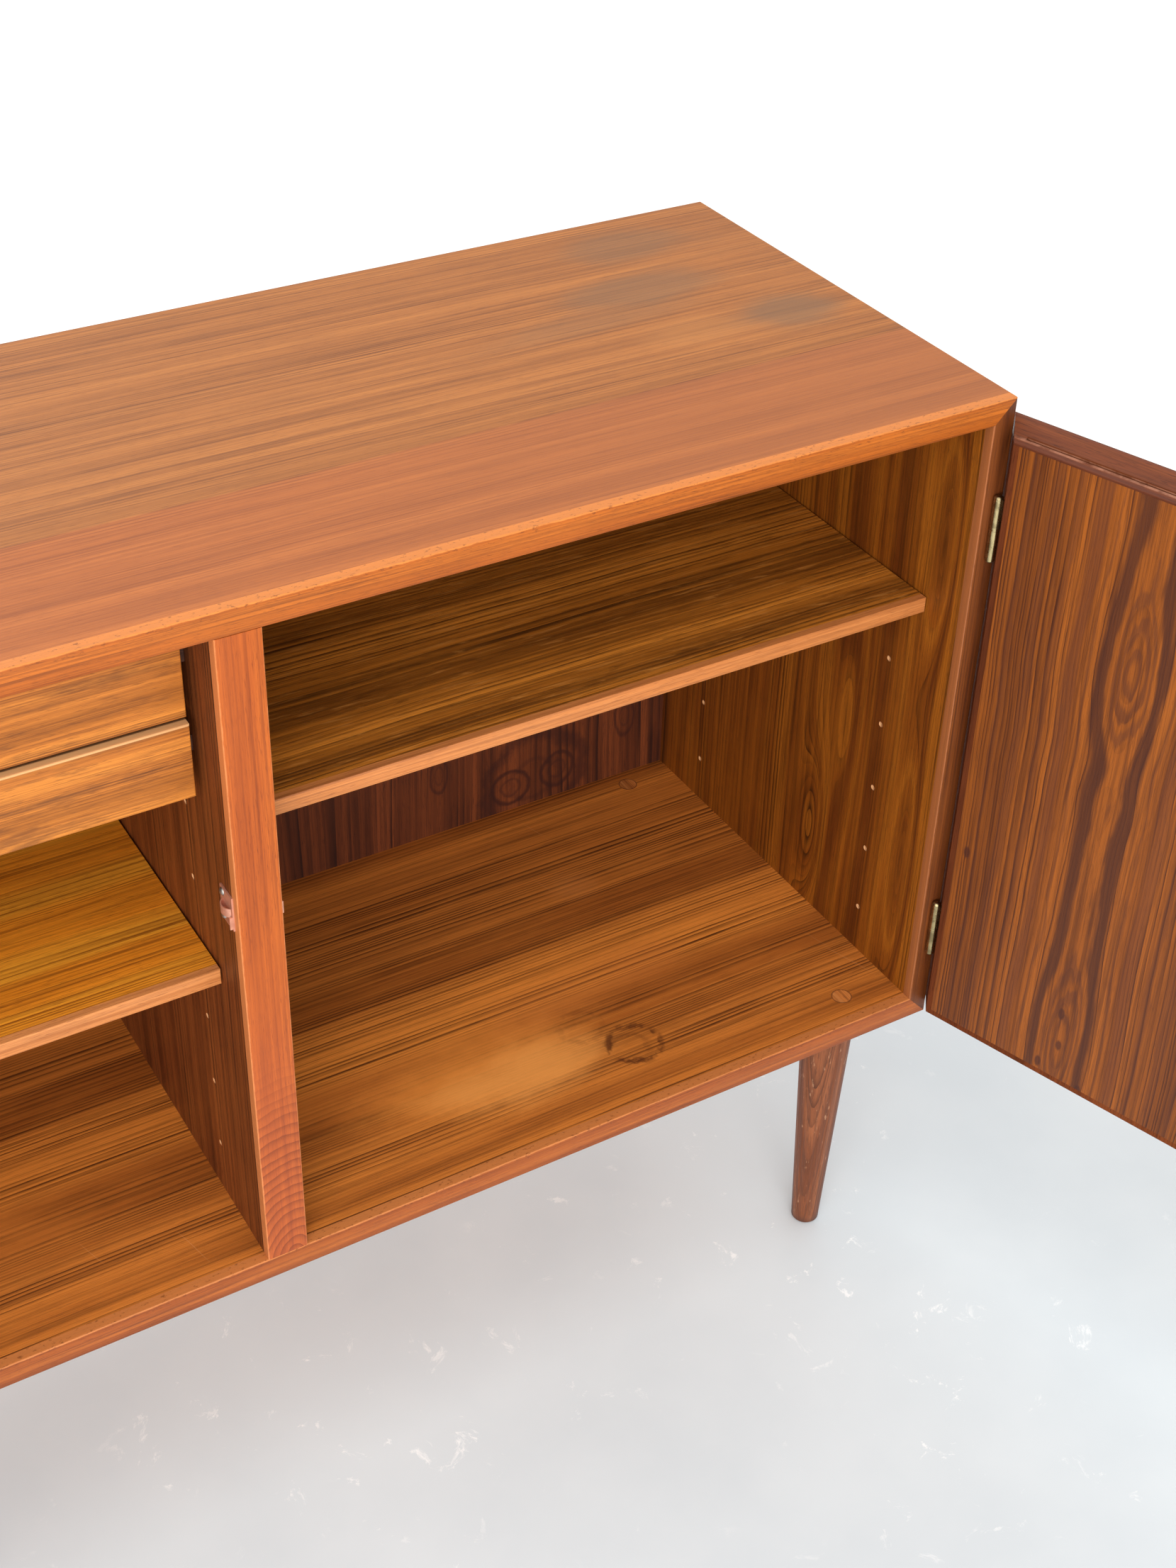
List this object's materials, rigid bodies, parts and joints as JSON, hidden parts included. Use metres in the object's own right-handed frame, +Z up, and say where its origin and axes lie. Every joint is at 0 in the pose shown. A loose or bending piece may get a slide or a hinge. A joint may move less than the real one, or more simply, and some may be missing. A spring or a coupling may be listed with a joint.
{
  "type": "sideboard buffet",
  "caption": "Low teak sideboard buffet on turned tapered legs: mitred case split by one divider, drawers over a shelf in one bay, a shelf in the other, and outward opening doors.",
  "frame": {"origin": "on the floor, under the middle of the case's width and depth", "axes": "+Z up, +Y to the back of the case, +X to its right as seen from the front"},
  "size_m": [1.5948, 0.9933, 0.85],
  "materials": {
    "teak_veneer": "satin oiled veneer",
    "door_veneer": "satin oiled veneer, dark striped",
    "solid_teak": "satin oiled solid wood",
    "leg_wood": "dark oiled solid wood",
    "back_veneer": "matt veneer",
    "shelf_veneer": "matt worn veneer",
    "drawer_wood": "bare wood",
    "aged_brass": "dull aged brass",
    "copper_steel": "copper coloured sheet",
    "zinc_steel": "dull zinc"
  },
  "bodies": {
    "case": {"top_panel": "teak_veneer", "top_edging": "solid_teak", "side_right": "teak_veneer", "side_right_edging": "solid_teak", "side_left": "teak_veneer", "side_left_edging": "solid_teak", "bottom_panel": "teak_veneer", "bottom_edging": "solid_teak", "divider": "teak_veneer", "divider_edging": "solid_teak", "back_panel": "back_veneer", "back_screws": "zinc_steel", "leg_front_right": "leg_wood", "leg_front_left": "leg_wood", "leg_back_right": "leg_wood", "leg_back_left": "leg_wood", "leg_bolts": "zinc_steel", "leg_plugs": "teak_veneer", "drawer_runners": "drawer_wood", "runner_screws": "zinc_steel", "shelf_pins": "zinc_steel", "hinge_frame_halves": "aged_brass", "hinge_rings": "aged_brass", "catch_plates": "copper_steel", "catch_springs": "copper_steel", "catch_screws": "zinc_steel"},
    "shelf_right": {"shelf_right": "shelf_veneer", "shelf_right_edging": "solid_teak"},
    "shelf_left": {"shelf_left": "shelf_veneer", "shelf_left_edging": "solid_teak"},
    "door_right": {"door_right_panel": "door_veneer", "door_right_rail": "solid_teak", "door_right_edging": "solid_teak", "door_right_hinges": "aged_brass", "door_right_strike": "zinc_steel", "door_right_strike_screws": "zinc_steel"},
    "door_left": {"door_left_panel": "door_veneer", "door_left_rail": "solid_teak", "door_left_edging": "solid_teak", "door_left_hinges": "aged_brass", "door_left_strike": "zinc_steel", "door_left_strike_screws": "zinc_steel"},
    "drawer_upper": {"drawer_upper_front": "solid_teak", "drawer_upper_sides": "drawer_wood", "drawer_upper_back": "drawer_wood", "drawer_upper_bottom": "drawer_wood"},
    "drawer_lower": {"drawer_lower_front": "solid_teak", "drawer_lower_sides": "drawer_wood", "drawer_lower_back": "drawer_wood", "drawer_lower_bottom": "drawer_wood"}
  },
  "joints": [
    {"name": "door_right_hinge", "type": "hinge", "parent": "case", "child": "door_right", "pos_m": [0.5982, -0.2142, 0.553], "axis": [0, 0, 1], "range_deg": [-108, 0]},
    {"name": "door_left_hinge", "type": "hinge", "parent": "case", "child": "door_left", "pos_m": [-0.5982, -0.2142, 0.553], "axis": [0, 0, -1], "range_deg": [-108, 0]},
    {"name": "drawer_upper_slide", "type": "slide", "parent": "case", "child": "drawer_upper", "axis": [0, -1, 0], "range_m": [0, 0.25]},
    {"name": "drawer_lower_slide", "type": "slide", "parent": "case", "child": "drawer_lower", "axis": [0, -1, 0], "range_m": [0, 0.25]},
    {"name": "shelf_right_slide", "type": "slide", "parent": "case", "child": "shelf_right", "axis": [0, -1, 0], "range_m": [0, 0.055]},
    {"name": "shelf_left_slide", "type": "slide", "parent": "case", "child": "shelf_left", "axis": [0, -1, 0], "range_m": [0, 0.055]}
  ]
}
